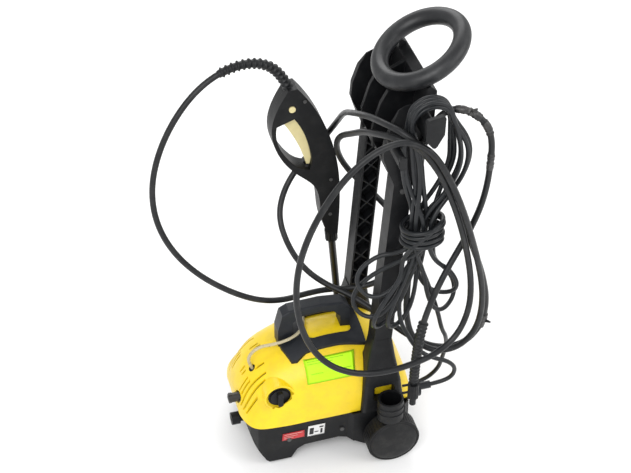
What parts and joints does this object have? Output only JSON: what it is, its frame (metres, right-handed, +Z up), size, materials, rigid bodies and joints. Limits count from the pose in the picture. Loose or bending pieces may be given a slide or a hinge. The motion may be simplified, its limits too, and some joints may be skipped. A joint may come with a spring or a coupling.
{
  "type": "pressure washer",
  "caption": "Upright high-pressure cleaner on two wheels, with a moulded body, twin-post mast, ring handle, stored gun and lance, looped hose and hanked mains cord.",
  "frame": {"origin": "middle of the base of the machine's own box, on the floor, without the hose and cords", "axes": "+X from the nose towards the wheels, +Z up, -Y the side with the switch"},
  "size_m": [0.5542, 0.3882, 0.8565],
  "materials": {
    "yellow_plastic": "moulded, slightly dirty",
    "black_plastic": "fine moulded grain",
    "slate_plastic": "fine moulded grain",
    "satin_plastic": "satin, dusty",
    "wheel_plastic": "ribbed, scuffed",
    "lance_plastic": "satin",
    "cream_plastic": "semi-gloss",
    "pale_plastic": "moulded",
    "rubber": "matt",
    "hose_rubber": "smooth, dusty",
    "cord_rubber": "smooth",
    "clear_tube": "translucent, aged",
    "steel": "machined",
    "cast_metal": "as cast",
    "brass": "machined"
  },
  "bodies": {
    "machine": {"axle_caps": "black_plastic", "base_tub": "black_plastic", "brush_holders": "brass", "cable_hook": "black_plastic", "capacitor": "pale_plastic", "carry_handle": "slate_plastic", "cord_gland": "black_plastic", "cord_hank": "cord_rubber", "cord_tail": "cord_rubber", "detergent_port": "black_plastic", "detergent_tube": "clear_tube", "front_feet": "rubber", "gear_case": "cast_metal", "gun_collar": "black_plastic", "gun_screws": "steel", "gun_shell_far": "black_plastic", "gun_shell_near": "black_plastic", "gun_valve": "brass", "hood": "yellow_plastic", "hose_coupling": "black_plastic", "hose_peg": "black_plastic", "pressure_hose": "hose_rubber", "inlet_connector": "black_plastic", "lance_cup_far": "black_plastic", "lance_cup_near": "black_plastic", "lance_tube": "lance_plastic", "mains_plug": "cord_rubber", "mast_bolts": "steel", "mast_head": "black_plastic", "mast_post_far": "black_plastic", "mast_post_near": "black_plastic", "motor_endbell": "cast_metal", "motor_stator": "cast_metal", "outlet_connector": "brass", "piston_springs": "steel", "pistons": "steel", "power_cord": "cord_rubber", "pump_block": "cast_metal", "pump_head": "cast_metal", "ring_handle": "satin_plastic", "side_screws": "steel", "suction_strainer": "pale_plastic", "switch_bezel": "black_plastic", "switch_block": "black_plastic", "wheel_axle": "steel"},
    "wheel_near": {"wheel_near": "wheel_plastic"},
    "wheel_far": {"wheel_far": "wheel_plastic"},
    "knob": {"switch_knob": "black_plastic"},
    "trigger": {"gun_trigger": "cream_plastic"},
    "lock_button": {"gun_lock_button": "cream_plastic"},
    "nozzle": {"lance_nozzle": "black_plastic"},
    "rotor": {"motor_rotor": "steel", "cooling_fan": "pale_plastic", "swash_plate": "steel"}
  },
  "joints": [
    {"name": "wheel_near_spin", "type": "hinge", "parent": "machine", "child": "wheel_near", "pos_m": [0.071, -0.135, 0.05], "axis": [0, 1, 0], "continuous": true},
    {"name": "wheel_far_spin", "type": "hinge", "parent": "machine", "child": "wheel_far", "pos_m": [0.071, 0.135, 0.05], "axis": [0, 1, 0], "continuous": true},
    {"name": "switch_turn", "type": "hinge", "parent": "machine", "child": "knob", "pos_m": [-0.13, -0.0838, 0.159], "axis": [0, -1, 0], "range_deg": [-90, 0]},
    {"name": "trigger_pull", "type": "hinge", "parent": "machine", "child": "trigger", "pos_m": [-0.003, 0.143, 0.512], "axis": [0, 1, 0], "range_deg": [0, 11], "stiffness_Nm_per_rad": 0.6, "springref_deg": -5.73},
    {"name": "lock_slide", "type": "slide", "parent": "machine", "child": "lock_button", "axis": [0, 1, 0], "range_m": [0, 0.003]},
    {"name": "nozzle_twist", "type": "hinge", "parent": "machine", "child": "nozzle", "pos_m": [0.04998, 0.143, 0.118], "axis": [-0.0837, 0, 0.9965], "range_deg": [0, 90]},
    {"name": "rotor_spin", "type": "hinge", "parent": "machine", "child": "rotor", "pos_m": [-0.016, 0, 0.132], "axis": [1, 0, 0], "continuous": true}
  ]
}
